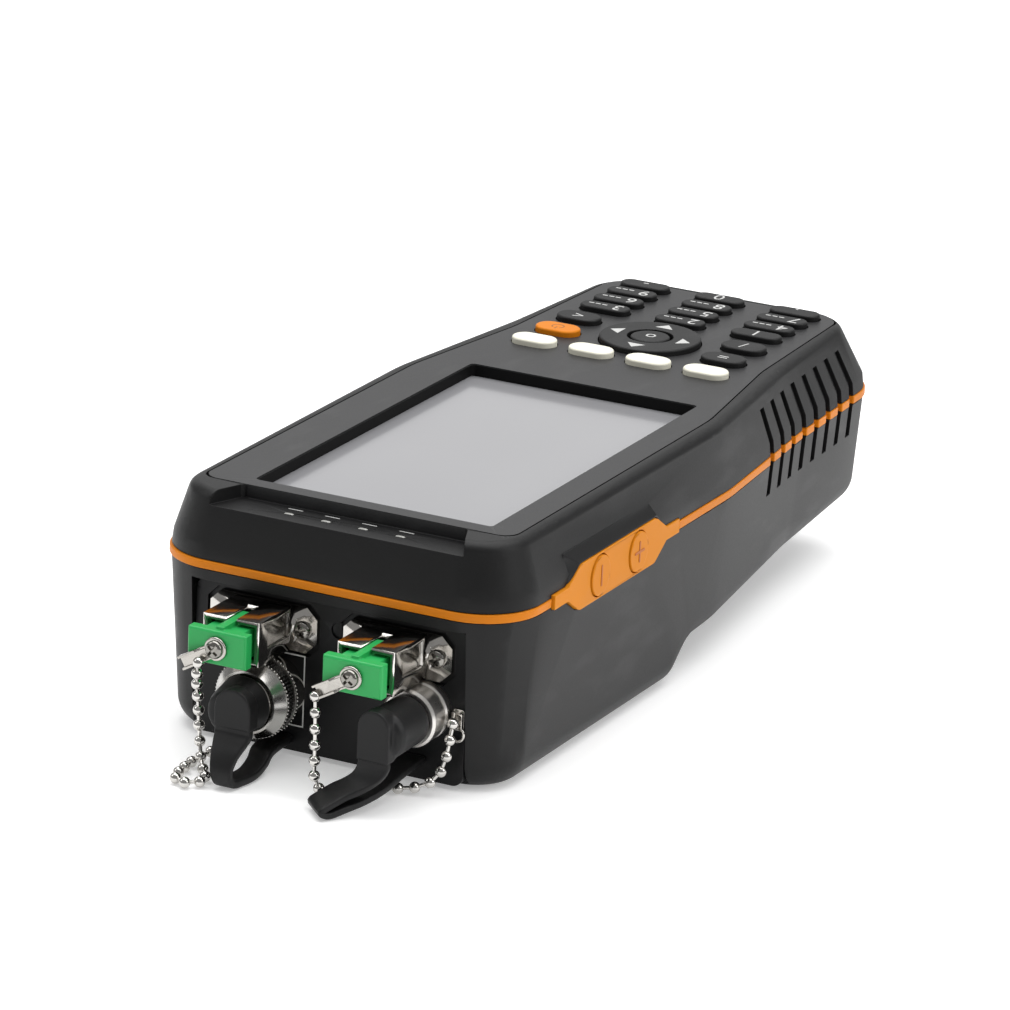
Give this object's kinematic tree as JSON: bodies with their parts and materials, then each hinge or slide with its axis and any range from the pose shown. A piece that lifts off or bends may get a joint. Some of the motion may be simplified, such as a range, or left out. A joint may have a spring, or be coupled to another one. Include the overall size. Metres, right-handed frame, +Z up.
{
  "type": "optical power meter",
  "caption": "Handheld fibre network power meter lying on its back, with a colour display, keypad, side keys and capped optical ports at the near end.",
  "frame": {"origin": "middle of the flat underside of the head, on which the meter rests", "axes": "+Z up through the display, +Y from the optical ports to the keypad, +X towards the side keys"},
  "size_m": [0.0847, 0.2231, 0.0537],
  "materials": {
    "casing": "fine matt texture",
    "face": "satin",
    "orange": "satin",
    "lens": "clear gloss over a grey screen",
    "module": "gloss",
    "board": "solder mask",
    "contact": "bright",
    "battery": "wrapped pack",
    "nickel": "bright nickel",
    "ceramic": "polished ceramic",
    "device": "metal can",
    "splitter": "moulded",
    "lamp": "frosted",
    "plug": "gloss",
    "cap": "matt",
    "soft_key": "matt silicone",
    "black_key": "matt silicone"
  },
  "bodies": {
    "housing": {"upper_shell": "casing", "lower_shell": "casing", "seam_band": "orange", "side_pad": "orange", "face_plate": "face", "display_lens": "lens", "display_module": "module", "main_board": "board", "keypad_board": "board", "dome_switches": "contact", "battery_pack": "battery", "case_screws": "contact", "connector_panel": "casing", "sc_adapter_left": "nickel", "sc_adapter_right": "nickel", "alignment_sleeves": "ceramic", "adapter_screws": "nickel", "chain_anchors": "nickel", "opm_port": "nickel", "opm_detector": "device", "vfl_port": "nickel", "vfl_laser": "device", "splitter_module": "splitter", "lamp_windows": "lamp", "charge_socket": "contact", "chain_left": "nickel", "chain_right": "nickel", "opm_strap": "cap", "vfl_strap": "cap"},
    "opm_ring": {"opm_ring": "nickel"},
    "opm_cap": {"opm_cap": "cap"},
    "vfl_cap": {"vfl_cap": "cap"},
    "dust_plug_left": {"dust_plug_left": "plug", "plug_tab_left": "contact"},
    "dust_plug_right": {"dust_plug_right": "plug", "plug_tab_right": "contact"},
    "soft_key_1": {"soft_key_1": "soft_key"},
    "soft_key_2": {"soft_key_2": "soft_key"},
    "soft_key_3": {"soft_key_3": "soft_key"},
    "soft_key_4": {"soft_key_4": "soft_key"},
    "power_key": {"power_key": "orange"},
    "escape_key": {"escape_key": "black_key"},
    "nav_ring": {"nav_ring": "black_key"},
    "ok_key": {"ok_key": "black_key"},
    "function_key_near": {"function_key_near": "black_key"},
    "function_key_far": {"function_key_far": "black_key"},
    "number_key_01": {"number_key_01": "black_key"},
    "number_key_02": {"number_key_02": "black_key"},
    "number_key_03": {"number_key_03": "black_key"},
    "number_key_04": {"number_key_04": "black_key"},
    "number_key_05": {"number_key_05": "black_key"},
    "number_key_06": {"number_key_06": "black_key"},
    "number_key_07": {"number_key_07": "black_key"},
    "number_key_08": {"number_key_08": "black_key"},
    "number_key_09": {"number_key_09": "black_key"},
    "number_key_10": {"number_key_10": "black_key"},
    "number_key_11": {"number_key_11": "black_key"},
    "number_key_12": {"number_key_12": "black_key"},
    "minus_key": {"minus_key": "orange"},
    "plus_key": {"plus_key": "orange"}
  },
  "joints": [
    {"name": "soft_key_1_press", "type": "slide", "parent": "housing", "child": "soft_key_1", "axis": [0, 0, -1], "range_m": [0, 0.00055], "stiffness_N_per_m": 2000, "springref_m": -0.0003},
    {"name": "soft_key_2_press", "type": "slide", "parent": "housing", "child": "soft_key_2", "axis": [0, 0, -1], "range_m": [0, 0.00055], "stiffness_N_per_m": 2000, "springref_m": -0.0003},
    {"name": "soft_key_3_press", "type": "slide", "parent": "housing", "child": "soft_key_3", "axis": [0, 0, -1], "range_m": [0, 0.00055], "stiffness_N_per_m": 2000, "springref_m": -0.0003},
    {"name": "soft_key_4_press", "type": "slide", "parent": "housing", "child": "soft_key_4", "axis": [0, 0, -1], "range_m": [0, 0.00055], "stiffness_N_per_m": 2000, "springref_m": -0.0003},
    {"name": "power_key_press", "type": "slide", "parent": "housing", "child": "power_key", "axis": [0, 0, -1], "range_m": [0, 0.00055], "stiffness_N_per_m": 2000, "springref_m": -0.0003},
    {"name": "escape_key_press", "type": "slide", "parent": "housing", "child": "escape_key", "axis": [0, 0, -1], "range_m": [0, 0.00055], "stiffness_N_per_m": 2000, "springref_m": -0.0003},
    {"name": "nav_ring_press", "type": "slide", "parent": "housing", "child": "nav_ring", "axis": [0, 0, -1], "range_m": [0, 0.00055], "stiffness_N_per_m": 2000, "springref_m": -0.0003},
    {"name": "ok_key_press", "type": "slide", "parent": "housing", "child": "ok_key", "axis": [0, 0, -1], "range_m": [0, 0.00055], "stiffness_N_per_m": 2000, "springref_m": -0.0003},
    {"name": "function_key_near_press", "type": "slide", "parent": "housing", "child": "function_key_near", "axis": [0, 0, -1], "range_m": [0, 0.00055], "stiffness_N_per_m": 2000, "springref_m": -0.0003},
    {"name": "function_key_far_press", "type": "slide", "parent": "housing", "child": "function_key_far", "axis": [0, 0, -1], "range_m": [0, 0.00055], "stiffness_N_per_m": 2000, "springref_m": -0.0003},
    {"name": "number_key_01_press", "type": "slide", "parent": "housing", "child": "number_key_01", "axis": [0, 0, -1], "range_m": [0, 0.00055], "stiffness_N_per_m": 2000, "springref_m": -0.0003},
    {"name": "number_key_02_press", "type": "slide", "parent": "housing", "child": "number_key_02", "axis": [0, 0, -1], "range_m": [0, 0.00055], "stiffness_N_per_m": 2000, "springref_m": -0.0003},
    {"name": "number_key_03_press", "type": "slide", "parent": "housing", "child": "number_key_03", "axis": [0, 0, -1], "range_m": [0, 0.00055], "stiffness_N_per_m": 2000, "springref_m": -0.0003},
    {"name": "number_key_04_press", "type": "slide", "parent": "housing", "child": "number_key_04", "axis": [0, 0, -1], "range_m": [0, 0.00055], "stiffness_N_per_m": 2000, "springref_m": -0.0003},
    {"name": "number_key_05_press", "type": "slide", "parent": "housing", "child": "number_key_05", "axis": [0, 0, -1], "range_m": [0, 0.00055], "stiffness_N_per_m": 2000, "springref_m": -0.0003},
    {"name": "number_key_06_press", "type": "slide", "parent": "housing", "child": "number_key_06", "axis": [0, 0, -1], "range_m": [0, 0.00055], "stiffness_N_per_m": 2000, "springref_m": -0.0003},
    {"name": "number_key_07_press", "type": "slide", "parent": "housing", "child": "number_key_07", "axis": [0, 0, -1], "range_m": [0, 0.00055], "stiffness_N_per_m": 2000, "springref_m": -0.0003},
    {"name": "number_key_08_press", "type": "slide", "parent": "housing", "child": "number_key_08", "axis": [0, 0, -1], "range_m": [0, 0.00055], "stiffness_N_per_m": 2000, "springref_m": -0.0003},
    {"name": "number_key_09_press", "type": "slide", "parent": "housing", "child": "number_key_09", "axis": [0, 0, -1], "range_m": [0, 0.00055], "stiffness_N_per_m": 2000, "springref_m": -0.0003},
    {"name": "number_key_10_press", "type": "slide", "parent": "housing", "child": "number_key_10", "axis": [0, 0, -1], "range_m": [0, 0.00055], "stiffness_N_per_m": 2000, "springref_m": -0.0003},
    {"name": "number_key_11_press", "type": "slide", "parent": "housing", "child": "number_key_11", "axis": [0, 0, -1], "range_m": [0, 0.00055], "stiffness_N_per_m": 2000, "springref_m": -0.0003},
    {"name": "number_key_12_press", "type": "slide", "parent": "housing", "child": "number_key_12", "axis": [0, 0, -1], "range_m": [0, 0.00055], "stiffness_N_per_m": 2000, "springref_m": -0.0003},
    {"name": "minus_key_press", "type": "slide", "parent": "housing", "child": "minus_key", "axis": [-1, 0, 0], "range_m": [0, 0.00055], "stiffness_N_per_m": 2000, "springref_m": -0.0003},
    {"name": "plus_key_press", "type": "slide", "parent": "housing", "child": "plus_key", "axis": [-1, 0, 0], "range_m": [0, 0.00055], "stiffness_N_per_m": 2000, "springref_m": -0.0003},
    {"name": "opm_ring_turn", "type": "hinge", "parent": "housing", "child": "opm_ring", "pos_m": [-0.0128, -0.0492, 0.0138], "axis": [0, 1, 0], "continuous": true},
    {"name": "opm_cap_pull", "type": "slide", "parent": "housing", "child": "opm_cap", "axis": [0, -1, 0], "range_m": [0, 0.006], "deforming": ["opm_strap"]},
    {"name": "vfl_cap_pull", "type": "slide", "parent": "housing", "child": "vfl_cap", "axis": [0, -1, 0], "range_m": [0, 0.009], "deforming": ["vfl_strap"]},
    {"name": "plug_left_pull", "type": "slide", "parent": "housing", "child": "dust_plug_left", "axis": [0, -1, 0], "range_m": [0, 0.014], "deforming": ["chain_left"]},
    {"name": "plug_right_pull", "type": "slide", "parent": "housing", "child": "dust_plug_right", "axis": [0, -1, 0], "range_m": [0, 0.014], "deforming": ["chain_right"]}
  ]
}
